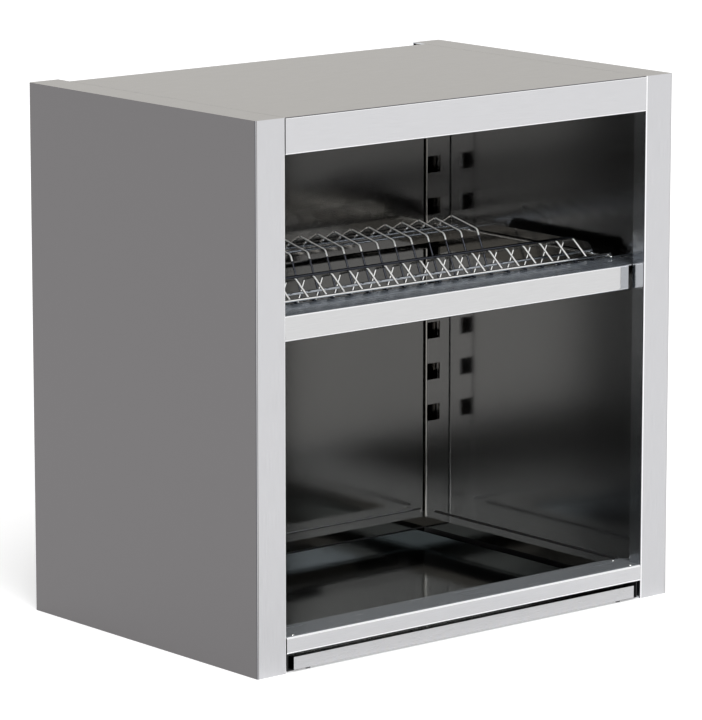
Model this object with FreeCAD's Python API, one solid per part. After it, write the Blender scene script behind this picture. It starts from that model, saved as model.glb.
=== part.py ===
import FreeCAD, Part
import math
import os

V = FreeCAD.Vector

# Driving dimensions, in millimetres. The origin is the middle of the base, +Z is up
# and the open front looks along -Y.
width = 600.0
depth = 400.0
height = 600.0
sheet = 1.0
bend = 1.0
seam = 0.3

# Side panels
post_width = 40.0
post_return = 19.0
side_top_flange = 40.0
side_base_flange = 18.0
side_rear_flange = 40.0
wall_hole_radius = 4.5
wall_hole_inset = 20.0
wall_hole_low = 60.0
wall_hole_high = 540.0

# Top panel
top_rail_height = 40.0
top_rail_return = 16.0
top_rear_gap = 20.0
top_rear_flange = 20.0
top_lap = 14.0
top_lap_overlap = 6.0

# Back panel and slotted uprights
back_recess = 22.0
back_side_return = 18.0
foot_relief = 1.2
upright_sheet = 1.5
upright_bend = 0.5
upright_front = 24.0
upright_leg = 20.0
upright_gap = 1.0
hole_side = 20.0
hole_pitch = 50.0
hole_top_margin = 80.0
lowest_hole = 156.0

# Bottom frame
floor_top = 40.0
floor_rail = 20.0
floor_bend = 2.0
floor_front_band = 41.0
floor_rear_band = 56.5
floor_side_band = 68.5
floor_lip = 12.5
floor_rear_gap = 1.2

# Drip tray and its runners
tray_end_gap = 10.0
tray_depth = 380.0
tray_base = 2.5
tray_front_height = 14.1
tray_side_height = 13.0
tray_rim = 4.0
tray_front_rim = 9.0
tray_gap = 0.3
runner_sheet = 1.0
runner_web_gap = 6.0
runner_hook = 3.0
runner_foot = 31.0
runner_start = 38.0
runner_end = 354.0
runner_front = 3.0
runner_rear = 372.0
runner_tab = 6.0
runner_tab_drop = 1.0
runner_stop = 9.0

# Carrier frame of the plate rack
carrier_hole = 4
frame_above_hole = 28.3
frame_front = 20.0
frame_rail_height = 28.3
frame_rail_end = 45.5
frame_rail_return = 14.0
frame_front_band = 54.0
frame_inner_lip = 12.0
frame_lap = 4.0
frame_side_gap = 0.3
frame_side_lip = 12.0
frame_rear_face = 365.0
frame_rear_band = 10.0
bracket_sheet = 1.5
bracket_inset = 27.0
bracket_height = 28.3
guide_height = 13.0
guide_start = 95.0
guide_end = 305.0
guide_slope = 12.0
hook_height = 15.0
hook_reach = 7.0
hook_drop = 10.0

# Plate rack
wire = 2.8
rod_wire = 3.2
weld_gap = 0.05
rest_gap = 0.3
wire_sides = 12
wire_pitch = 25.5
wire_margin = 57.0
rod_end = 30.5
side_wire_inset = 32.0
side_wire_start = 60.0
side_wire_end = 372.0
rack_front_line = 66.0
middle_rail_line = 98.0
back_rail_line = 310.0
wire_tip = 63.5
ramp_start = 76.0
ramp_top = 98.8
crest_depth = 16.7
crest_rise = 18.4
crest_fall = 4.4
leg_slope = 0.42
trough_base = 345.0
trough_rear = 242.0
shoulder_line = 264.5
shoulder_rise = 9.5
peak_line = 309.5
peak_rise = 19.3
rear_leg_slope = 0.583
wire_overrun = 3.0
crest_bend = 2.5
shoulder_bend = 5.0
peak_bend = 5.0
trough_bend = 5.0

# Places worked out from the sizes above
half = width / 2.0
front = -depth / 2.0
back = depth / 2.0
skin_inner = half - sheet
post_inner = half - post_width
back_face = back - back_recess
floor_under = floor_top - sheet
carrier_hole_height = lowest_hole + carrier_hole * hole_pitch
frame_top = carrier_hole_height + frame_above_hole
frame_under = frame_top - sheet
wire_count = int((width - 2.0 * wire_margin) / wire_pitch) + 1
wire_span = (wire_count - 1) * wire_pitch
tray_width = width - 2.0 * (post_width + tray_end_gap)
hole_count = int((height - hole_top_margin - lowest_hole) / hole_pitch) + 1
bracket_inner = half - bracket_inset - bracket_sheet
wire_tip_height = frame_top + rest_gap + wire / 2.0
rod_height = wire_tip_height + (wire + rod_wire) / 2.0 + weld_gap


def box(x0, x1, y0, y1, z0, z1):
    low = V(min(x0, x1), min(y0, y1), min(z0, z1))
    return Part.makeBox(abs(x1 - x0), abs(y1 - y0), abs(z1 - z0), low)


def fuse(shapes):
    joined = shapes[0].fuse(list(shapes[1:]))
    return joined.removeSplitter()


def mirrored(shape):
    return shape.mirror(V(0, 0, 0), V(1, 0, 0))


def unit(a, b):
    length = math.hypot(b[0] - a[0], b[1] - a[1])
    return (b[0] - a[0]) / length, (b[1] - a[1]) / length


def rounded_edges(points, radii, place):
    """Straight runs through the points, with an arc of the given radius at each inner point."""
    edges = []
    start = points[0]
    for index in range(1, len(points) - 1):
        corner = points[index]
        into = unit(points[index - 1], corner)
        out = unit(corner, points[index + 1])
        turn = math.acos(max(-1.0, min(1.0, into[0] * out[0] + into[1] * out[1])))
        radius = radii[index - 1]
        if radius <= 0.0 or turn < 0.01:
            edges.append(Part.makeLine(place(start), place(corner)))
            start = corner
            continue
        tangent = radius * math.tan(turn / 2.0)
        first = (corner[0] - into[0] * tangent, corner[1] - into[1] * tangent)
        last = (corner[0] + out[0] * tangent, corner[1] + out[1] * tangent)
        toward = unit(corner, ((first[0] + last[0]) / 2.0, (first[1] + last[1]) / 2.0))
        reach = radius / math.cos(turn / 2.0) - radius
        middle = (corner[0] + toward[0] * reach, corner[1] + toward[1] * reach)
        edges.append(Part.makeLine(place(start), place(first)))
        edges.append(Part.Arc(place(first), place(middle), place(last)).toShape())
        start = last
    edges.append(Part.makeLine(place(start), place(points[-1])))
    return edges


def offset_points(points, distance):
    """The same run of straight lines moved sideways, to the left of its direction."""
    moved = []
    for index, point in enumerate(points):
        before = unit(points[index - 1], point) if index else unit(point, points[1])
        after = unit(point, points[index + 1]) if index < len(points) - 1 else before
        left_a = (-before[1], before[0])
        left_b = (-after[1], after[0])
        scale = 1.0 + left_a[0] * left_b[0] + left_a[1] * left_b[1]
        shift_u = (left_a[0] + left_b[0]) / scale
        shift_v = (left_a[1] + left_b[1]) / scale
        moved.append((point[0] + shift_u * distance, point[1] + shift_v * distance))
    return moved


def folded(points, thickness, radius, place, run):
    """A bent sheet: the outer line of its section, thickened to the left and drawn out along run."""
    inner = offset_points(points, thickness)
    outer_radii = []
    inner_radii = []
    for index in range(1, len(points) - 1):
        a = unit(points[index - 1], points[index])
        b = unit(points[index], points[index + 1])
        turns_left = a[0] * b[1] - a[1] * b[0] > 0
        outer_radii.append(radius + thickness if turns_left else radius)
        inner_radii.append(radius if turns_left else radius + thickness)
    edges = rounded_edges(points, outer_radii, place)
    edges.append(Part.makeLine(place(points[-1]), place(inner[-1])))
    edges.extend(rounded_edges(inner[::-1], inner_radii[::-1], place))
    edges.append(Part.makeLine(place(inner[0]), place(points[0])))
    section = Part.Face(Part.Wire(Part.__sortEdges__(edges)))
    return section.extrude(run)


def section_at_x(x):
    return lambda point: V(x, point[0], point[1])


def section_at_z(z):
    return lambda point: V(point[0], point[1], z)


def outline(points, place, run):
    """A flat plate with a straight-sided outline."""
    edges = []
    for index, point in enumerate(points):
        edges.append(Part.makeLine(place(point), place(points[(index + 1) % len(points)])))
    return Part.Face(Part.Wire(edges)).extrude(run)


def side_panel():
    section = [
        (post_inner, front + post_return),
        (post_inner, front),
        (half, front),
        (half, back),
        (half - side_rear_flange, back),
    ]
    body = folded(section, sheet, bend, section_at_z(0.0), V(0, 0, height))
    top = box(half - side_top_flange, skin_inner, front + sheet, back - sheet, height - sheet, height)
    base_inner = half - side_base_flange
    base = box(base_inner, skin_inner, front + sheet, back - sheet, 0.0, sheet)
    panel = fuse([body, top, base])
    for z in (wall_hole_low, wall_hole_high):
        start = V(half - wall_hole_inset, back - 2.0 * sheet, z)
        panel = panel.cut(Part.makeCylinder(wall_hole_radius, 4.0 * sheet, start, V(0, 1, 0)))
    return panel


def top_panel():
    rail_under = height - top_rail_height
    rear = back - top_rear_gap
    section = [
        (rear, height - top_rear_flange),
        (rear, height),
        (front, height),
        (front, rail_under),
        (front + top_rail_return, rail_under),
    ]
    length = 2.0 * (post_inner - seam)
    start = -length / 2.0
    cover = folded(section, sheet, bend, section_at_x(start), V(length, 0, 0))
    laps = []
    lap_inner = post_inner - top_lap_overlap
    for side in (-1.0, 1.0):
        lap_start = front + post_return + 2.0 * sheet
        lap_end = back - upright_front - 4.0 * sheet
        under = height - 2.0 * sheet
        laps.append(
            box(side * lap_inner, side * (post_inner + top_lap), lap_start, lap_end, under, height - sheet)
        )
    return fuse([cover] + laps)


def back_panel():
    face = back_face
    edge = post_inner - seam
    section = [
        (-edge, face + back_side_return),
        (-edge, face),
        (edge, face),
        (edge, face + back_side_return),
    ]
    top = height - sheet - bend
    panel = folded(section, sheet, bend, section_at_z(floor_top), V(0, 0, top - floor_top))
    notch_low = height - top_rear_flange - seam
    panel = panel.cut(box(-width, width, face + sheet, back, notch_low, height))
    relief = edge - 2.0 * sheet
    return panel.cut(box(-relief, relief, face - sheet, back, floor_top, floor_top + foot_relief))


def upright():
    inner = post_inner + upright_gap
    face = back - upright_front
    section = [
        (skin_inner, face + upright_leg),
        (skin_inner, face),
        (inner, face),
        (inner, face + upright_leg),
    ]
    top = height - sheet
    run = V(0, 0, top - floor_top)
    channel = folded(section[::-1], upright_sheet, upright_bend, section_at_z(floor_top), run)
    middle = half - bracket_inset
    for index in range(hole_count):
        z = lowest_hole + index * hole_pitch
        channel = channel.cut(
            box(
                middle - hole_side / 2.0,
                middle + hole_side / 2.0,
                face - sheet,
                face + 2.0 * upright_sheet,
                z - hole_side / 2.0,
                z + hole_side / 2.0,
            )
        )
    return channel


def runner_web():
    return tray_width / 2.0 + runner_web_gap


def bottom_frame():
    rail_under = floor_top - floor_rail
    rear = back - sheet - floor_rear_gap
    section = [
        (rear, rail_under),
        (rear, floor_top),
        (front, floor_top),
        (front, rail_under),
        (front + post_return - 2.0 * sheet, rail_under),
    ]
    length = 2.0 * (post_inner - seam)
    floor = folded(section, sheet, floor_bend, section_at_x(-length / 2.0), V(length, 0, 0))
    wings = []
    for side in (-1.0, 1.0):
        wing_start = front + post_return + seam
        outer = skin_inner
        wings.append(
            box(side * (post_inner - sheet), side * outer, wing_start, rear - 4.0 * sheet, floor_under, floor_top)
        )
        wings.append(
            box(side * (outer - sheet), side * outer, wing_start, rear - 4.0 * sheet, rail_under, floor_top)
        )
    frame = fuse([floor] + wings)
    x = half - floor_side_band
    y0 = front + floor_front_band
    y1 = back - floor_rear_band
    frame = frame.cut(box(-x, x, y0, y1, floor_under - sheet, floor_top + sheet))
    lip_low = floor_top - floor_lip
    lips = [
        box(-x - sheet, x + sheet, y0 - sheet, y0, lip_low, floor_under),
        box(-x - sheet, x + sheet, y1, y1 + sheet, lip_low, floor_under),
        box(x, x + sheet, y0, y1, lip_low, floor_under),
        box(-x - sheet, -x, y0, y1, lip_low, floor_under),
    ]
    frame = fuse([frame] + lips)
    web = runner_web()
    for side in (-1.0, 1.0):
        slot = box(
            side * (web - 2.0 * runner_sheet),
            side * (web + runner_sheet + tray_gap),
            front + runner_start,
            front + runner_end,
            floor_under - sheet,
            floor_top + sheet,
        )
        frame = frame.cut(slot)
    return frame


def tray_runner():
    web = runner_web()
    base = tray_base - tray_gap
    section = [
        (web + runner_sheet + runner_hook, floor_top + runner_sheet),
        (web, floor_top + runner_sheet),
        (web, base - runner_sheet),
        (web - runner_foot, base - runner_sheet),
    ]
    place = lambda point: V(point[0], front + runner_front, point[1])
    run = V(0, runner_rear - runner_front, 0)
    rail = folded(section[:2] + [(web, base - runner_sheet)], runner_sheet, 0.0, place, run)
    foot = box(
        web - runner_foot,
        web + runner_sheet,
        front + runner_front,
        front + runner_rear,
        base - runner_sheet,
        base,
    )
    tab = box(
        web - runner_foot,
        web - runner_foot + runner_tab,
        front + runner_front,
        front + runner_front + runner_sheet,
        base - runner_sheet - runner_tab_drop,
        base - runner_sheet,
    )
    stop_line = front + tray_depth + tray_gap
    arm = box(
        web - runner_foot,
        web - runner_foot + 2.0 * runner_tab,
        front + runner_rear - sheet,
        stop_line + runner_sheet,
        base - runner_sheet,
        base,
    )
    stop = box(
        web - runner_foot,
        web - runner_foot + 2.0 * runner_tab,
        stop_line,
        stop_line + runner_sheet,
        base - runner_sheet,
        base + runner_stop,
    )
    runner = fuse([rail, foot, tab, arm, stop])
    reach = runner_hook + 2.0 * runner_sheet
    for y0, y1 in (
        (runner_front - sheet, runner_start + tray_gap),
        (runner_end - tray_gap, runner_rear + sheet),
    ):
        notch = box(web - sheet, web + reach, front + y0, front + y1, floor_under - tray_gap, floor_top + reach)
        runner = runner.cut(notch)
    rail_under = floor_top - floor_rail
    rail_notch = box(web - sheet, web + reach, front, front + post_return, rail_under - tray_gap, floor_top)
    return runner.cut(rail_notch)


def drip_tray():
    x = tray_width / 2.0
    y0 = front
    y1 = front + tray_depth
    low = tray_base
    side_top = low + tray_side_height
    front_top = low + tray_front_height
    pan = box(-x, x, y0, y1, low, side_top)
    pan = pan.cut(box(-x + sheet, x - sheet, y0 + sheet, y1 - sheet, low + sheet, side_top + sheet))
    rim = box(-x, x, y0, y1, side_top - sheet, side_top)
    inner = tray_rim
    rim = rim.cut(box(-x + inner, x - inner, y0, y1 - inner, side_top - 2.0 * sheet, side_top + sheet))
    face = box(-x, x, y0, y0 + sheet, low, front_top)
    grip = box(-x, x, y0, y0 + tray_front_rim, front_top - sheet, front_top)
    tray = fuse([pan, rim, face, grip])
    corners = [edge for edge in tray.Edges if upright_corner(edge, x, y0, y1)]
    return tray.makeFillet(sheet * 0.8, corners)


def upright_corner(edge, x, y0, y1):
    if edge.Length < tray_side_height - sheet:
        return False
    a = edge.Vertexes[0].Point
    b = edge.Vertexes[-1].Point
    vertical = abs(a.x - b.x) < 0.01 and abs(a.y - b.y) < 0.01
    outside = abs(abs(a.x) - x) < 0.01 and min(abs(a.y - y0), abs(a.y - y1)) < 0.01
    return vertical and outside


def frame_front_member():
    inner = front + frame_front + frame_front_band
    face = front + frame_front
    low = frame_top - frame_rail_height
    section = [
        (inner, frame_top - frame_inner_lip),
        (inner, frame_top),
        (face, frame_top),
        (face, low),
        (face + frame_rail_return, low),
    ]
    rail_half = half - frame_rail_end
    rail = folded(section, sheet, bend, section_at_x(-rail_half), V(2.0 * rail_half, 0, 0))
    parts = [rail]
    outer = skin_inner - frame_side_gap
    for side in (-1.0, 1.0):
        parts.append(box(side * (rail_half - frame_lap), side * outer, face, inner - 2.0 * sheet, frame_under, frame_top))
        end_top = frame_under
        parts.append(
            box(
                side * (rail_half - sheet),
                side * rail_half,
                face + sheet,
                face + frame_rail_return,
                low + sheet,
                end_top,
            )
        )
    wing_inner = bracket_inner + bracket_sheet
    for side in (-1.0, 1.0):
        parts.append(box(side * (rail_half - frame_lap), side * outer, inner - 3.0 * sheet, inner, frame_under, frame_top))
        lip_low = frame_top - frame_inner_lip
        parts.append(box(side * (rail_half - sheet), side * wing_inner, inner - sheet, inner, lip_low, frame_under))
    return fuse(parts)


def frame_rear_member():
    face = front + frame_rear_face
    low = frame_top - frame_rail_height
    section = [
        (face + frame_rear_band, frame_top),
        (face, frame_top),
        (face, low),
        (face + frame_rear_band * 0.6, low),
    ]
    return folded(section, sheet, bend, section_at_x(-bracket_inner), V(2.0 * bracket_inner, 0, 0))


def frame_side_member():
    inner = bracket_inner + bracket_sheet
    outer = skin_inner - frame_side_gap
    section = [
        (outer, frame_top - frame_side_lip),
        (outer, frame_top),
        (inner, frame_top),
        (inner, frame_top - frame_side_lip),
    ]
    start = front + frame_front + frame_front_band
    end = front + frame_rear_face + frame_rear_band
    place = lambda point: V(point[0], start, point[1])
    return folded(section, sheet, bend, place, V(0, end - start, 0))


def support_bracket():
    start = front + frame_front + frame_front_band
    low = frame_top - bracket_height
    guide_top = frame_top + guide_height
    web_face = back - upright_front
    web_back = web_face + upright_sheet
    hole_low = carrier_hole_height - hole_side / 2.0
    seat = hole_low + seam
    hook_top = seat + hook_height
    hook_back = web_back + hook_reach
    points = [
        (start, low),
        (start, frame_top),
        (front + guide_start, frame_top),
        (front + guide_start + guide_slope, guide_top),
        (front + guide_end - guide_slope, guide_top),
        (front + guide_end, frame_top),
        (web_face - seam, frame_top),
        (web_face - seam, hook_top),
        (hook_back, hook_top),
        (hook_back, seat - hook_drop),
        (web_back + seam, seat - hook_drop),
        (web_back + seam, seat),
        (web_face - seam, seat),
        (web_face - seam, low - hook_drop),
        (web_face - 3.0 * hook_drop, low),
    ]
    return outline(points, section_at_x(bracket_inner), V(bracket_sheet, 0, 0))


def plate_wire_points():
    """One plate wire from its front tip, over the low crest, through the trough and over the tall peak."""
    base = wire_tip_height
    crest = base + crest_rise
    crest_back = front + ramp_top + crest_depth
    crest_low = crest - crest_fall
    trough_front = crest_back + (crest_low - trough_base) * leg_slope
    shoulder = base + shoulder_rise
    peak = base + peak_rise
    rear_y, rear_z = rear_wire_place()
    end_y = rear_y + wire_overrun
    end_z = peak - (end_y - front - peak_line) * rear_leg_slope
    return [
        (front + wire_tip, base),
        (front + ramp_start, base),
        (front + ramp_top, crest),
        (crest_back, crest_low),
        (trough_front, trough_base),
        (front + trough_rear, trough_base),
        (front + shoulder_line, shoulder),
        (front + peak_line, peak),
        (end_y, end_z),
    ]


def rear_wire_place():
    """Where the rear wire lies: at rod height, just under the short rear legs of the plate wires."""
    peak = wire_tip_height + peak_rise
    clearance = (wire + rod_wire) / 2.0 + weld_gap
    drop = peak - rod_height - clearance * math.hypot(1.0, rear_leg_slope)
    return front + peak_line + drop / rear_leg_slope, rod_height


def eased(points, radii, steps):
    """The same run with each corner that has a radius turned into short straight steps of its arc."""
    run = [points[0]]
    for index in range(1, len(points) - 1):
        corner = points[index]
        into = unit(points[index - 1], corner)
        out = unit(corner, points[index + 1])
        turn = math.acos(into[0] * out[0] + into[1] * out[1])
        radius = radii[index - 1]
        if radius <= 0.0:
            run.append(corner)
            continue
        left = 1.0 if into[0] * out[1] - into[1] * out[0] > 0 else -1.0
        tangent = radius * math.tan(turn / 2.0)
        first = (corner[0] - into[0] * tangent, corner[1] - into[1] * tangent)
        centre = (first[0] - into[1] * radius * left, first[1] + into[0] * radius * left)
        start = math.atan2(first[1] - centre[1], first[0] - centre[0])
        reach = radius / math.cos(turn / steps / 2.0)
        for step in range(steps):
            angle = start + left * turn * (step + 0.5) / steps
            run.append((centre[0] + reach * math.cos(angle), centre[1] + reach * math.sin(angle)))
    run.append(points[-1])
    return run


def plate_wire(x):
    """One wire with a many-sided section, so that the long row of them stays light."""
    radii = [0.0, crest_bend, crest_bend, trough_bend, trough_bend, shoulder_bend, peak_bend]
    points = eased(plate_wire_points(), radii, 2)
    place = section_at_x(x)
    path = Part.makePolygon([place(point) for point in points])
    tip = points[0]
    corners = []
    for side in range(wire_sides + 1):
        angle = 2.0 * math.pi * (side + 0.5) / wire_sides
        corners.append(V(x + wire / 2.0 * math.cos(angle), tip[0], tip[1] + wire / 2.0 * math.sin(angle)))
    profile = Part.makePolygon(corners)
    return path.makePipeShell([profile], True, False, 1)


def plate_wires():
    return Part.Compound([plate_wire(-wire_span / 2.0 + index * wire_pitch) for index in range(wire_count)])


def beside(a, b, share, side, distance):
    """A point a share of the way from a to b, moved square to that line."""
    along = unit(a, b)
    u = a[0] + (b[0] - a[0]) * share - along[1] * distance * side
    v = a[1] + (b[1] - a[1]) * share + along[0] * distance * side
    return u, v


def rack_rods():
    """The lengthwise rods: some lie against the plate wires, the others on the two side wires."""
    points = plate_wire_points()
    reach = (wire + rod_wire) / 2.0 + weld_gap
    wires_half = wire_span / 2.0 + wire
    sides_half = half - rod_end
    rear_y, rear_z = rear_wire_place()
    places = {
        "rack_front_wire": (sides_half, (front + rack_front_line, rod_height)),
        "rack_rear_wire": (sides_half, (rear_y, rear_z)),
        "rack_middle_rail": (sides_half, (front + middle_rail_line, rod_height)),
        "rack_back_rail": (sides_half, (front + back_rail_line, rod_height)),
        "rack_crest_rail": (wires_half, beside(points[2], points[3], 0.25, 1.0, reach)),
        "trough_rail_front": (wires_half, beside(points[4], points[5], 0.15, -1.0, reach)),
        "trough_rail_rear": (wires_half, beside(points[4], points[5], 0.85, -1.0, reach)),
    }
    rods = {}
    for name, (rod_half, (y, z)) in places.items():
        rods[name] = Part.makeCylinder(rod_wire / 2.0, 2.0 * rod_half, V(-rod_half, y, z), V(1, 0, 0))
    return rods


def side_wire():
    start = V(half - side_wire_inset, front + side_wire_start, wire_tip_height)
    return Part.makeCylinder(wire / 2.0, side_wire_end - side_wire_start, start, V(0, 1, 0))


def build():
    nodes = {
        "top_panel": top_panel(),
        "back_panel": back_panel(),
        "bottom_frame": bottom_frame(),
        "drip_tray": drip_tray(),
        "frame_front_member": frame_front_member(),
        "frame_rear_member": frame_rear_member(),
        "plate_wires": plate_wires(),
    }
    nodes.update(rack_rods())
    handed = {
        "side_panel": side_panel(),
        "slotted_upright": upright(),
        "tray_runner": tray_runner(),
        "frame_side_member": frame_side_member(),
        "support_bracket": support_bracket(),
        "rack_side_wire": side_wire(),
    }
    for name, shape in handed.items():
        nodes[name + "_right"] = shape
        nodes[name + "_left"] = mirrored(shape)
    return nodes


os.makedirs("parts", exist_ok=True)
for name, shape in build().items():
    shape.exportStep("parts/" + name + ".step")
    print(name, len(shape.Solids), round(shape.Volume), shape.isValid())
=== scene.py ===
import math

import bmesh
import bpy
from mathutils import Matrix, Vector


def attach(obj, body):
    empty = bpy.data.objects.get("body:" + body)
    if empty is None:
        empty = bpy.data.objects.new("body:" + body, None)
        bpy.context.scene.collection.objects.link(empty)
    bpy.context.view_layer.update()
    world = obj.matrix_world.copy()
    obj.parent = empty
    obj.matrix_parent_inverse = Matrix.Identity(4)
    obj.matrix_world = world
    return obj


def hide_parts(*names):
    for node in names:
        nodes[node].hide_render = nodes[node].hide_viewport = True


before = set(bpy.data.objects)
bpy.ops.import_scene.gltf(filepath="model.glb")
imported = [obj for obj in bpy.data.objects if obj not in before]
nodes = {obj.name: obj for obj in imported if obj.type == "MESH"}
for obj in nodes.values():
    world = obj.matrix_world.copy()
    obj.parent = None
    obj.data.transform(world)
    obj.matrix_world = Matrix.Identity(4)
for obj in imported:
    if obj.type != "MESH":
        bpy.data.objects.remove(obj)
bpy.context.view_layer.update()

# Places shared with the solids, in metres. Depths count from the open front.
FRONT = -0.2
FLOOR_TOP = 0.040
FRAME_TOP = 0.3843
SHEET = 0.001

# Camera, from the corners of the cabinet in the photograph
CAMERA_PLACE = (-3.2779, -3.9100, 1.2719)
CAMERA_TURN = math.radians(39.948)
CAMERA_TILT = math.radians(-11.004)
CAMERA_LENS = 230.67
CAMERA_SENSOR = 36.0
CAMERA_REACH = 100.0

# Suns: name, energy, then in degrees the width across and the turns about X and Z
SUNS = (
    ("soft_sun", 1.2, 35.0, 28.0, -25.0),
    ("soft_fill", 1.2, 30.0, 69.0, -22.0),
)

# World as light and as it is seen, and the floor with its own glow
WHITE = (1.0, 1.0, 1.0, 1.0)
WORLD_LIGHT = 0.55
WORLD_SEEN = 1.0
FLOOR_REACH = 30.0
FLOOR_TONE = (0.82, 0.82, 0.82, 1.0)
FLOOR_GLOW = 0.35

# Plate wires, laid on the same centre line as the solids
WIRE = 0.0024
WIRE_SIDES = 20
WIRE_PITCH = 0.0255
WIRE_COUNT = 20
WIRE_STEP = 0.005
ARC_STEPS = 6
MITRE_LEAST = 0.5
TIP_HEIGHT = 0.3860
TROUGH_HEIGHT = 0.345
TAIL_HEIGHT = 0.39084
WIRE_POINTS = (
    (FRONT + 0.0650, TIP_HEIGHT),
    (FRONT + 0.0760, TIP_HEIGHT),
    (FRONT + 0.0988, TIP_HEIGHT + 0.0184),
    (FRONT + 0.1155, TIP_HEIGHT + 0.0140),
    (FRONT + 0.1386, TROUGH_HEIGHT),
    (FRONT + 0.2420, TROUGH_HEIGHT),
    (FRONT + 0.2645, TIP_HEIGHT + 0.0095),
    (FRONT + 0.3095, TIP_HEIGHT + 0.0193),
    (FRONT + 0.3343, TAIL_HEIGHT),
)
WIRE_RADII = (0.003, 0.0025, 0.0025, 0.005, 0.005, 0.005, 0.005)

# Painted light and shade along a plate wire, by depth: a painted highlight on the upper side of
# its slopes, painted shade on their underside, the tips, the rear legs and the cut ends.
PLAIN_WIRE, PAINTED_HIGHLIGHT_WIRE, PAINTED_SHADE_WIRE = 0, 1, 2
RAMP_START = 0.0735
REAR_LEG = 0.2425
SHOULDER = 0.2618
HIGHLIGHT_RUNS = ((RAMP_START, 0.1010), (SHOULDER, 0.3085))
HIGHLIGHT_TOP = 0.45

# Rear member: bevelled upper edge and rolled lower edge
MEMBER_BEVEL = 0.001
ROLL = 0.009
ROLL_STEPS = 12

# Half-round black beads standing in for the shade in two seams, painted shade: half the width
# on the sheet, and the rise
BEAD_STEPS = 12
FOOT_BEAD = (0.0014, 0.0009)
FOOT_BEAD_LIFT = 0.0015
FOOT_BEAD_END = 0.003
EDGE_BEAD = (0.0009, 0.0019)
EDGE_BEAD_DEPTH = 0.3440
EDGE_BEAD_HEIGHT = 0.0276
EDGE_BEAD_HALF = 0.2305

# Rivet heads: half their width, their rise, and x, depth and z of the right half
RIVET_HEAD = 0.0024
RIVET_RISE = 0.0012
RIVET_RINGS = 6
RIVET_SIDES = 24
RIVETS = (
    (0.248, 0.005, FLOOR_TOP),
    (0.248, 0.0336, FLOOR_TOP),
    (0.245, 0.3634, FLOOR_TOP),
    (0.284, 0.062, FRAME_TOP),
    (0.290, 0.062, FRAME_TOP),
    (0.284, 0.350, FRAME_TOP),
    (0.290, 0.350, FRAME_TOP),
)

# Steel: how much of the noise shows, its effect on roughness, the slow cloudiness, and the
# heights over which the painted shade above the shelf comes in
NOISE_LOW, NOISE_HIGH = 0.3, 0.7
ROUGH_SPREAD = 0.15
ROUGH_LEAST, ROUGH_MOST = 0.02, 1.0
RELIEF_DEPTH = 0.0002
GRAIN_DETAIL = 3.0
CLOUD_SCALE, CLOUD_DETAIL = 7.0, 2.0
SHADE_FADE_LOW, SHADE_FADE_HIGH = 0.34, 0.42

# Black for the runners and beads, standing in for the shade in gaps: painted shade
SHADE_BLACK_TONE = (0.006, 0.006, 0.007, 1.0)
PAINT_SPECK = 1800.0
PAINT_ROUGHNESS = (0.45, 0.7)
PAINT_RELIEF = 0.15

# Grain directions: the noise is stretched along the axis with the small number
UPRIGHT = (1.0, 1.0, 0.02)
LEVEL = (0.02, 1.0, 1.0)
ALONG_WIRE = (0.2, 1.0, 1.0)
EVEN = (1.0, 1.0, 1.0)

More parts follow.
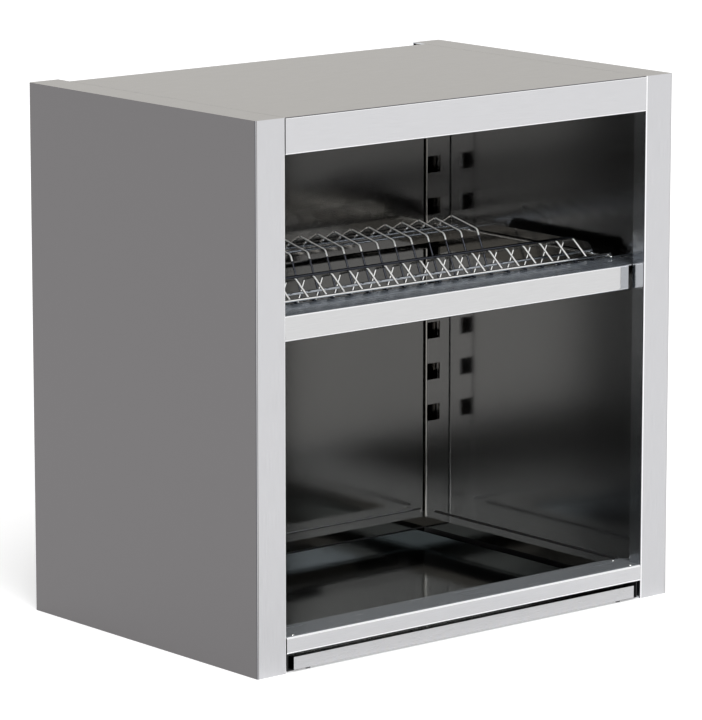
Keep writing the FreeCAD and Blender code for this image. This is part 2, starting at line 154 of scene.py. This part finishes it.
# Name: colour, roughness, grain direction, grain scale, change of tone, relief
# The colours below are lit and shaded copies of one stainless steel, given per face: painted
# light and shade.
STEELS = {
    # Painted shade on the outer sides
    "outer_steel": ((0.178, 0.172, 0.175), 0.42, UPRIGHT, 1400.0, 0.03, 0.03),
    # Lit tone of the front faces, this row and the next
    "face_steel": ((0.55, 0.55, 0.565), 0.24, UPRIGHT, 1600.0, 0.05, 0.03),
    "rail_steel": ((0.575, 0.575, 0.59), 0.22, LEVEL, 1600.0, 0.05, 0.03),
    # Painted shade on the top, warm grey
    "top_steel": ((0.322, 0.306, 0.282), 0.38, LEVEL, 1400.0, 0.04, 0.03),
    # Painted shade under the top
    "ceiling_steel": ((0.30, 0.30, 0.30), 0.30, LEVEL, 1400.0, 0.04, 0.03),
    # Lighter blue-grey painted light on the post returns
    "return_steel": ((0.60, 0.62, 0.65), 0.17, UPRIGHT, 1400.0, 0.015, 0.01),
    # Painted shade on the floor behind its front
    "border_steel": ((0.26, 0.28, 0.29), 0.12, LEVEL, 600.0, 0.05, 0.01),
    # Lit tone of the shelf's front
    "shelf_steel": ((0.565, 0.565, 0.57), 0.09, LEVEL, 1600.0, 0.04, 0.01),
    # Painted shade on the inner skins
    "mirror_steel": ((0.38, 0.39, 0.405), 0.15, EVEN, 1200.0, 0.03, 0.006),
    # Painted shade on the back panel and uprights
    "back_steel": ((0.225, 0.217, 0.202), 0.15, EVEN, 1200.0, 0.05, 0.01),
    # Blue-grey painted light on the floor's front
    "floor_steel": ((0.34, 0.365, 0.39), 0.24, LEVEL, 600.0, 0.015, 0.008),
    # Blue-grey painted light on the shelf frame
    "frame_steel": ((0.37, 0.41, 0.465), 0.27, LEVEL, 600.0, 0.015, 0.006),
    # Painted shade on faces deep inside and turned from the light
    "dark_steel": ((0.19, 0.182, 0.170), 0.07, LEVEL, 600.0, 0.05, 0.006),
    # Painted shade on the shelf brackets
    "bracket_steel": ((0.20, 0.195, 0.185), 0.12, LEVEL, 600.0, 0.03, 0.006),
    # Painted shade inside the tray
    "pan_steel": ((0.25, 0.27, 0.275), 0.11, LEVEL, 600.0, 0.03, 0.006),
    # Lit tone of the tray's front
    "tray_steel": ((0.51, 0.51, 0.52), 0.30, LEVEL, 1600.0, 0.05, 0.03),
    # Painted highlight on the bends
    "bright_edge": ((0.90, 0.90, 0.91), 0.20, LEVEL, 600.0, 0.02, 0.006),
    # Painted shade on the bends
    "dark_edge": ((0.11, 0.11, 0.12), 0.30, LEVEL, 600.0, 0.03, 0.006),
    "wire_steel": ((0.80, 0.80, 0.79), 0.06, ALONG_WIRE, 500.0, 0.03, 0.01),
    # Painted highlight on the upper side of the wire slopes
    "painted_highlight_wire": ((1.0, 1.0, 0.98), 0.22, ALONG_WIRE, 500.0, 0.02, 0.01),
    # Painted shade on the wire tips, rear legs, slope undersides and some rails
    "painted_shade_wire": ((0.045, 0.048, 0.058), 0.10, ALONG_WIRE, 500.0, 0.03, 0.01),
    # Painted shade with a blue tint on the middle, back and rear rails
    "painted_shade_blue_wire": ((0.50, 0.53, 0.57), 0.12, ALONG_WIRE, 500.0, 0.03, 0.01),
}
# Cloudiness, painted shade above the shelf (a darker tone there) and metallic value, where they
# aren't 0, 1 and 1
STEEL_EXTRAS = {
    "mirror_steel": {"shade_above_shelf": 0.78},
    "back_steel": {"cloud": 0.5, "shade_above_shelf": 0.78},
    "floor_steel": {"metallic": 0.6},
    "frame_steel": {"metallic": 0.75},
    "painted_highlight_wire": {"metallic": 0.1},
}

# The faces of the folded sheets get tones of painted light and shade by their way and place.
# Faces of the folded sheets. First shares of the normal: flat faces, front faces,
# and the narrow faces of a bend.
FLAT = 0.7
FRONTAL = 0.6
FOLD_LEAST, FOLD_MIDDLE, FOLD_MOST = 0.15, 0.55, 0.75
UPRIGHT_FOLD = 0.1
TOP_FOLD_LEAST, TOP_FOLD_MOST = 0.25, 0.95
# Then places: depths within which a front face shows, and limits in x and z
FOLD_DEPTH = 0.0025
MEMBER_FRONT = 0.020
FRONT_BAND = 0.010
MEMBER_BAND = 0.030
TRAY_BAND = 0.040
POST_BAND = 0.050
SKIN_LEAST = 0.28
POST_MOST = 0.27
FLOOR_LEAST = 0.03
TOP_LEAST = 0.5
TOP_EDGE_LEAST = 0.59

# Nodes with one material all over. The back panel, uprights, side members and the crest and
# trough rails take painted shade, the middle, back and rear rails painted shade with a blue
# tint, and the runners black for shade.
PLAIN_NODES = {
    "back_panel": "back_steel",
    "slotted_upright_left": "back_steel",
    "slotted_upright_right": "back_steel",
    "tray_runner_left": "runner_black",
    "tray_runner_right": "runner_black",
    "frame_side_member_left": "bracket_steel",
    "frame_side_member_right": "bracket_steel",
    "rack_front_wire": "wire_steel",
    "rack_side_wire_left": "wire_steel",
    "rack_side_wire_right": "wire_steel",
    "rack_crest_rail": "painted_shade_wire",
    "trough_rail_front": "painted_shade_wire",
    "trough_rail_rear": "painted_shade_wire",
    "rack_middle_rail": "painted_shade_blue_wire",
    "rack_back_rail": "painted_shade_blue_wire",
    "rack_rear_wire": "painted_shade_blue_wire",
}


def new_material(name):
    material = bpy.data.materials.new(name)
    material.use_nodes = True
    return material, material.node_tree.nodes, material.node_tree.links


def add_noise(tree, links, scale, place=None, detail=None):
    noise = tree.new("ShaderNodeTexNoise")
    noise.inputs["Scale"].default_value = scale
    if detail is not None:
        noise.inputs["Detail"].default_value = detail
    if place is not None:
        links.new(place, noise.inputs["Vector"])
    return noise.outputs["Fac"]


def add_range(tree, links, value, source, target):
    """Maps a value from one range to another."""
    ranged = tree.new("ShaderNodeMapRange")
    ranged.inputs["From Min"].default_value, ranged.inputs["From Max"].default_value = source
    ranged.inputs["To Min"].default_value, ranged.inputs["To Max"].default_value = target
    links.new(value, ranged.inputs["Value"])
    return ranged


def add_math(tree, operation):
    node = tree.new("ShaderNodeMath")
    node.operation = operation
    return node


def add_relief(tree, links, height, strength):
    relief = tree.new("ShaderNodeBump")
    relief.inputs["Strength"].default_value = strength
    relief.inputs["Distance"].default_value = RELIEF_DEPTH
    links.new(height, relief.inputs["Height"])
    links.new(relief.outputs["Normal"], tree["Principled BSDF"].inputs["Normal"])


def steel(name, color, roughness, grain, grain_scale, vary, bump,
          cloud=0.0, metallic=1.0, shade_above_shelf=1.0):
    """Metal with a fine directional grain, small changes of tone, a slow cloudiness and painted
    shade above the shelf.
    """
    material, tree, links = new_material(name)
    shader = tree["Principled BSDF"]
    shader.inputs["Metallic"].default_value = metallic
    place = tree.new("ShaderNodeTexCoord").outputs["Object"]
    stretch = tree.new("ShaderNodeMapping")
    stretch.inputs["Scale"].default_value = grain
    links.new(place, stretch.inputs["Vector"])
    fine = add_noise(tree, links, grain_scale, stretch.outputs["Vector"], GRAIN_DETAIL)
    slow = add_noise(tree, links, CLOUD_SCALE, place, CLOUD_DETAIL)

    mixed = add_math(tree, "MULTIPLY_ADD")
    mixed.inputs[1].default_value = cloud
    links.new(slow, mixed.inputs[0])
    links.new(fine, mixed.inputs[2])
    tone = add_range(
        tree, links, mixed.outputs["Value"],
        (NOISE_LOW, NOISE_HIGH + cloud), (1.0 - vary, 1.0 + vary),
    )
    # Painted shade: the tone darkens above the shelf by the given share
    split = tree.new("ShaderNodeSeparateXYZ")
    links.new(place, split.inputs["Vector"])
    painted_shade_fade = add_range(tree, links, split.outputs["Z"], (SHADE_FADE_LOW, SHADE_FADE_HIGH), (1.0, shade_above_shelf))
    painted_shade_fade.interpolation_type = "SMOOTHSTEP"
    both = add_math(tree, "MULTIPLY")
    links.new(tone.outputs["Result"], both.inputs[0])
    links.new(painted_shade_fade.outputs["Result"], both.inputs[1])
    scaled = tree.new("ShaderNodeVectorMath")
    scaled.operation = "SCALE"
    scaled.inputs[0].default_value = color
    links.new(both.outputs["Value"], scaled.inputs["Scale"])
    links.new(scaled.outputs["Vector"], shader.inputs["Base Color"])

    smoothest = max(ROUGH_LEAST, roughness * (1.0 - ROUGH_SPREAD))
    roughest = min(ROUGH_MOST, roughness * (1.0 + ROUGH_SPREAD))
    rough = add_range(tree, links, fine, (NOISE_LOW, NOISE_HIGH), (smoothest, roughest))
    links.new(rough.outputs["Result"], shader.inputs["Roughness"])
    add_relief(tree, links, fine, bump)
    return material


def black_for_shade(name):
    """Black with a fine speck, standing in for the shade in gaps: painted shade."""
    material, tree, links = new_material(name)
    shader = tree["Principled BSDF"]
    shader.inputs["Base Color"].default_value = SHADE_BLACK_TONE
    speck = add_noise(tree, links, PAINT_SPECK)
    rough = add_range(tree, links, speck, (0.0, 1.0), PAINT_ROUGHNESS)
    links.new(rough.outputs["Result"], shader.inputs["Roughness"])
    add_relief(tree, links, speck, PAINT_RELIEF)
    return material


def seen_directly(tree, links):
    """1 for camera, glossy and transmission rays, else 0."""
    path = tree.new("ShaderNodeLightPath")
    total = path.outputs["Is Camera Ray"]
    for name in ("Is Glossy Ray", "Is Transmission Ray"):
        either = add_math(tree, "MAXIMUM")
        links.new(total, either.inputs[0])
        links.new(path.outputs[name], either.inputs[1])
        total = either.outputs["Value"]
    return total


def floor_material():
    """A pale dull floor that glows a little where it is seen, as the white around it."""
    material, tree, links = new_material("pale_floor")
    shader = tree["Principled BSDF"]
    shader.inputs["Base Color"].default_value = FLOOR_TONE
    shader.inputs["Roughness"].default_value = 1.0
    shader.inputs["Specular IOR Level"].default_value = 0.0
    glow = add_math(tree, "MULTIPLY")
    glow.inputs[1].default_value = FLOOR_GLOW
    links.new(seen_directly(tree, links), glow.inputs[0])
    shader.inputs["Emission Color"].default_value = WHITE
    links.new(glow.outputs["Value"], shader.inputs["Emission Strength"])
    return material


def make_world():
    """Plain white to look at, and a weaker white as light."""
    background = bpy.data.worlds.new("studio")
    bpy.context.scene.world = background
    background.use_nodes = True
    tree, links = background.node_tree.nodes, background.node_tree.links
    light = tree["Background"]
    light.inputs["Color"].default_value = WHITE
    seen = seen_directly(tree, links)
    level = add_range(tree, links, seen, (0.0, 1.0), (WORLD_LIGHT, WORLD_SEEN))
    links.new(level.outputs["Result"], light.inputs["Strength"])


def add_object(name, data):
    obj = bpy.data.objects.new(name, data)
    bpy.context.scene.collection.objects.link(obj)
    return obj


def make_floor():
    mesh = bpy.data.meshes.new("floor")
    corners = [
        (FLOOR_REACH * x, FLOOR_REACH * y, 0.0) for x, y in ((-1, -1), (1, -1), (1, 1), (-1, 1))
    ]
    mesh.from_pydata(corners, [], [(0, 1, 2, 3)])
    mesh.materials.append(floor_material())
    floor = add_object("floor", mesh)


def make_suns():
    for name, energy, width, tilt, turn in SUNS:
        data = bpy.data.lights.new(name, "SUN")
        data.energy = energy
        data.angle = math.radians(width)
        sun = add_object(name, data)
        sun.rotation_euler = (math.radians(tilt), 0.0, math.radians(turn))


def make_camera():
    data = bpy.data.cameras.new("camera")
    data.lens = CAMERA_LENS
    data.sensor_width = CAMERA_SENSOR
    data.clip_end = CAMERA_REACH
    camera = add_object("camera", data)
    camera.location = CAMERA_PLACE
    camera.rotation_euler = (math.pi / 2.0 + CAMERA_TILT, 0.0, -CAMERA_TURN)
    bpy.context.scene.camera = camera


def add_piece(name, bm, body, materials):
    """A piece that only the scene has, on its body and with its material slot."""
    mesh = bpy.data.meshes.new(name)
    bmesh.ops.recalc_face_normals(bm, faces=bm.faces)
    bm.to_mesh(mesh)
    bm.free()
    for material in materials:
        mesh.materials.append(material)
    obj = add_object(name, mesh)
    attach(obj, body)
    return obj


def node_box(name):
    """The least and the greatest corner of a CAD node."""
    corners = [Vector(corner) for corner in nodes[name].bound_box]
    low = Vector([min(corner[axis] for corner in corners) for axis in range(3)])
    high = Vector([max(corner[axis] for corner in corners) for axis in range(3)])
    return low, high


def prism(bm, section, x0, x1, smooth_sides):
    """A closed section of (y, z) points drawn along X."""
    ends = [[bm.verts.new((x, y, z)) for y, z in section] for x in (x0, x1)]
    for index in range(len(section)):
        other = (index + 1) % len(section)
        side = bm.faces.new((ends[0][index], ends[0][other], ends[1][other], ends[1][index]))
        side.smooth = index in smooth_sides
    bm.faces.new(ends[0][::-1])
    bm.faces.new(ends[1])


def centre_line(points, radii):
    """Points along the wire, with an arc of short steps at each corner."""
    run = [Vector(points[0])]
    for index, radius in enumerate(radii, start=1):
        corner = Vector(points[index])
        into = (corner - Vector(points[index - 1])).normalized()
        out = (Vector(points[index + 1]) - corner).normalized()
        turn = into.angle(out)
        left = 1.0 if into.x * out.y - into.y * out.x > 0 else -1.0
        first = corner - into * radius * math.tan(turn / 2.0)
        centre = first + Vector((-into.y, into.x)) * radius * left
        start = math.atan2(first.y - centre.y, first.x - centre.x)
        for step in range(ARC_STEPS + 1):
            angle = start + left * turn * step / ARC_STEPS
            run.append(centre + Vector((math.cos(angle), math.sin(angle))) * radius)
    run.append(Vector(points[-1]))
    fine = [run[0]]
    for a, b in zip(run, run[1:]):
        count = max(1, round((b - a).length / WIRE_STEP))
        fine += [a.lerp(b, step / count) for step in range(1, count + 1)]
    return fine


def wire_light_and_shade(depth):
    """Which of plain steel, painted highlight and painted shade a wire gets, a distance behind
    the cabinet's front.
    """
    if depth < RAMP_START or REAR_LEG < depth < SHOULDER:
        return PAINTED_SHADE_WIRE
    return PAINTED_HIGHLIGHT_WIRE if any(low < depth < high for low, high in HIGHLIGHT_RUNS) else PLAIN_WIRE


def tube(bm, x, line):
    """A round plate wire in the plane of one x, with flat cut ends."""
    radius = WIRE / 2.0
    angles = [2.0 * math.pi * side / WIRE_SIDES for side in range(WIRE_SIDES)]
    half_side = math.pi / WIRE_SIDES
    rings = []
    for index, point in enumerate(line):
        before = (point - line[index - 1]).normalized() if index else None
        after = (line[index + 1] - point).normalized() if index < len(line) - 1 else None
        into, out = before or after, after or before
        along = (into + out).normalized()
        across = Vector((-along.y, along.x))
        mitre = 1.0 / max(MITRE_LEAST, across.dot(Vector((-out.y, out.x))))
        ring = []
        for angle in angles:
            shift = across * radius * mitre * math.sin(angle)
            place = (x + radius * math.cos(angle), point.x + shift.x, point.y + shift.y)
            ring.append(bm.verts.new(place))
        rings.append(ring)
    for index, (a, b) in enumerate(zip(rings, rings[1:])):
        wire_look = wire_light_and_shade((line[index].x + line[index + 1].x) / 2.0 - FRONT)
        for side in range(WIRE_SIDES):
            other = (side + 1) % WIRE_SIDES
            face = bm.faces.new((a[side], a[other], b[other], b[side]))
            face.smooth = True
            # Upper faces of the highlight runs get the painted highlight, their other faces
            # painted shade
            on_top = math.sin(angles[side] + half_side) > HIGHLIGHT_TOP
            face.material_index = wire_look if on_top or wire_look != PAINTED_HIGHLIGHT_WIRE else PAINTED_SHADE_WIRE
    for cap in (rings[0][::-1], rings[-1]):
        bm.faces.new(cap).material_index = PAINTED_SHADE_WIRE


def plate_wires(materials):
    """The plate wires, round, in plain steel with a painted highlight and painted shade."""
    bm = bmesh.new()
    line = centre_line(WIRE_POINTS, WIRE_RADII)
    first = -(WIRE_COUNT - 1) * WIRE_PITCH / 2.0
    for index in range(WIRE_COUNT):
        tube(bm, first + index * WIRE_PITCH, line)
    obj = add_piece("plate_wires_round", bm, "plate_rack", materials)
    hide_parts("plate_wires")


def rear_member(materials):
    """The rear member with its rolled lower edge, as long as the solid."""
    low, high = node_box("frame_rear_member")
    outer = [(high.y, high.z), (low.y + MEMBER_BEVEL, high.z), (low.y, high.z - MEMBER_BEVEL)]
    inner = [(high.y, high.z - SHEET), (low.y + SHEET, high.z - SHEET)]
    rolled_sides = range(len(outer), len(outer) + ROLL_STEPS)
    for step in range(ROLL_STEPS + 1):
        angle = math.pi / 2.0 * step / ROLL_STEPS
        for edge, radius in ((outer, ROLL), (inner, ROLL - SHEET)):
            y = low.y + ROLL - radius * math.cos(angle)
            z = low.z + ROLL - radius * math.sin(angle)
            edge.append((y, z))
    bm = bmesh.new()
    prism(bm, outer + inner[::-1], low.x, high.x, rolled_sides)
    obj = add_piece("rear_member_rolled", bm, "cabinet", materials)
    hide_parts("frame_rear_member")


def half_round(middle, across, out):
    """A half-round section from its middle, half its flat side and its rise."""
    turns = [math.pi * step / BEAD_STEPS for step in range(BEAD_STEPS + 1)]
    return [middle + across * math.cos(turn) + out * math.sin(turn) for turn in turns]


def painted_shade_beads(materials):
    """Black beads of painted shade behind the back panel's foot and under the floor's rear
    edge.
    """
    low, high = node_box("back_panel")
    foot = half_round(
        Vector((low.y + SHEET, FLOOR_TOP + FOOT_BEAD_LIFT)),
        Vector((0.0, FOOT_BEAD[0])),
        Vector((FOOT_BEAD[1], 0.0)),
    )
    edge = half_round(
        Vector((FRONT + EDGE_BEAD_DEPTH, EDGE_BEAD_HEIGHT)),
        Vector((EDGE_BEAD[0], 0.0)),
        Vector((0.0, -EDGE_BEAD[1])),
    )
    bm = bmesh.new()
    for section, half in ((foot, high.x - FOOT_BEAD_END), (edge, EDGE_BEAD_HALF)):
        prism(bm, section, -half, half, range(BEAD_STEPS))
    add_piece("painted_shade_beads", bm, "cabinet", materials)


def rivets(materials):
    """Low domed rivet heads, the same on both halves."""
    bm = bmesh.new()
    ball = (RIVET_HEAD ** 2 + RIVET_RISE ** 2) / (2.0 * RIVET_RISE)
    reach = math.asin(RIVET_HEAD / ball)
    around = [2.0 * math.pi * side / RIVET_SIDES for side in range(RIVET_SIDES)]
    places = [(half * x, FRONT + depth, z) for half in (-1, 1) for x, depth, z in RIVETS]
    for x, y, z in places:
        inner = [bm.verts.new((x, y, z + RIVET_RISE))]
        for step in range(1, RIVET_RINGS + 1):
            angle = reach * step / RIVET_RINGS
            radius = ball * math.sin(angle)
            height = z + RIVET_RISE - ball + ball * math.cos(angle)
            ring = [
                bm.verts.new((x + radius * math.cos(a), y + radius * math.sin(a), height))
                for a in around
            ]
            for side in range(RIVET_SIDES):
                other = (side + 1) % RIVET_SIDES
                corners = [ring[side], ring[other]]
                corners += [inner[other], inner[side]] if len(inner) > 1 else inner
                bm.faces.new(corners).smooth = True
            inner = ring
    add_piece("rivet_heads", bm, "cabinet", materials)


def on_rail_edge(normal, centre, front):
    """True on the narrow faces of the bends along a front rail."""
    near = centre.y < front + FOLD_DEPTH
    return near and normal.y < 0.0 and FOLD_LEAST < abs(normal.z) < FOLD_MOST


def faces_front(normal, centre, band):
    """True on a front face that lies within a band behind the cabinet's front."""
    return normal.y < -FRONTAL and centre.y < FRONT + band


# Lit tone on the post fronts; painted shade on the outer sides, the deeper fronts, the inner
# skins and some bends; a painted highlight on the inner post bends; lighter blue-grey painted
# light on the returns
def side_face(normal, centre):
    slant = abs(normal.x)
    outward = normal.x * centre.x > 0
    if min(normal.z, slant) > TOP_FOLD_LEAST and centre.z > TOP_EDGE_LEAST:
        return "dark_edge"
    on_post_edge = centre.y < FRONT + FOLD_DEPTH and abs(normal.z) < UPRIGHT_FOLD
    if on_post_edge and normal.y < -FOLD_LEAST and slant > FOLD_LEAST:
        if slant > FOLD_MOST:
            return "dark_edge"
        if not outward:
            return "bright_edge"
        return "face_steel" if slant > FOLD_MIDDLE else "outer_steel"
    if normal.z > FLAT and centre.z > TOP_LEAST:
        return "top_steel"
    if normal.y < -FRONTAL:
        return "face_steel" if faces_front(normal, centre, FRONT_BAND) else "dark_steel"
    if outward and abs(centre.x) > SKIN_LEAST:
        return "outer_steel"
    if slant > FLAT and abs(centre.x) < POST_MOST:
        return "return_steel"
    if normal.y > FRONTAL and centre.y < FRONT + POST_BAND:
        return "return_steel"
    return "mirror_steel"


# Lit tone on the rail's front; painted shade on the top, its front bend and underneath; a
# painted highlight on the rail's other bends
def top_face(normal, centre):
    if centre.y < FRONT + FOLD_DEPTH and FOLD_MIDDLE < normal.z < TOP_FOLD_MOST:
        return "dark_edge"
    if on_rail_edge(normal, centre, FRONT):
        return "bright_edge"
    if normal.z > FLAT and centre.z > TOP_LEAST:
        return "top_steel"
    return "rail_steel" if faces_front(normal, centre, FRONT_BAND) else "ceiling_steel"


# Lit tone on the rail's front and a painted highlight on its bends; blue-grey painted light on
# the floor's front; painted shade further back and underneath
def floor_face(normal, centre):
    if on_rail_edge(normal, centre, FRONT):
        return "bright_edge"
    if faces_front(normal, centre, FRONT_BAND):
        return "rail_steel"
    if normal.z > FLAT and centre.z > FLOOR_LEAST:
        return "floor_steel" if centre.y < FRONT + POST_BAND else "border_steel"
    return "dark_steel"


# Lit tone on the shelf's front, a painted highlight on its bends, blue-grey painted light on
# the rest
def front_member_face(normal, centre):
    if on_rail_edge(normal, centre, FRONT + MEMBER_FRONT):
        return "bright_edge"
    return "shelf_steel" if faces_front(normal, centre, MEMBER_BAND) else "frame_steel"


# Lit tone on the tray's front, painted shade inside
def tray_face(normal, centre):
    return "tray_steel" if faces_front(normal, centre, TRAY_BAND) else "pan_steel"


# Painted shade on the brackets, darkest on the faces turned to the skins
def bracket_face(normal, centre):
    outward = normal.x * centre.x > 0
    return "dark_steel" if outward and abs(normal.x) > FLAT else "bracket_steel"


FOLDED_NODES = {
    "side_panel_left": side_face,
    "side_panel_right": side_face,
    "top_panel": top_face,
    "bottom_frame": floor_face,
    "frame_front_member": front_member_face,
    "drip_tray": tray_face,
    "support_bracket_left": bracket_face,
    "support_bracket_right": bracket_face,
}


def set_faces(node, materials, choose):
    """Gives each face of a CAD node the material that choose names from normal and centre."""
    mesh = nodes[node].data
    picks = [choose(polygon.normal, polygon.center) for polygon in mesh.polygons]
    names = sorted(set(picks))
    mesh.materials.clear()
    for name in names:
        mesh.materials.append(materials[name])
    for polygon, pick in zip(mesh.polygons, picks):
        polygon.material_index = names.index(pick)


# Materials
finishes = {
    name: steel(name, *look, **STEEL_EXTRAS.get(name, {})) for name, look in STEELS.items()
}
finishes["runner_black"] = black_for_shade("runner_black")

# CAD nodes
for node_name, choose_face in FOLDED_NODES.items():
    set_faces(node_name, finishes, choose_face)
for node_name, finish_name in PLAIN_NODES.items():
    nodes[node_name].data.materials.clear()
    nodes[node_name].data.materials.append(finishes[finish_name])

# Pieces that only the scene has
plate_wires([finishes["wire_steel"], finishes["painted_highlight_wire"], finishes["painted_shade_wire"]])
# The rear member in painted shade
rear_member([finishes["dark_steel"]])
painted_shade_beads([finishes["runner_black"]])
rivets([finishes["wire_steel"]])

# Floor, light and camera
make_floor()
make_world()
make_suns()
make_camera()
bpy.context.scene.view_settings.view_transform = "Standard"
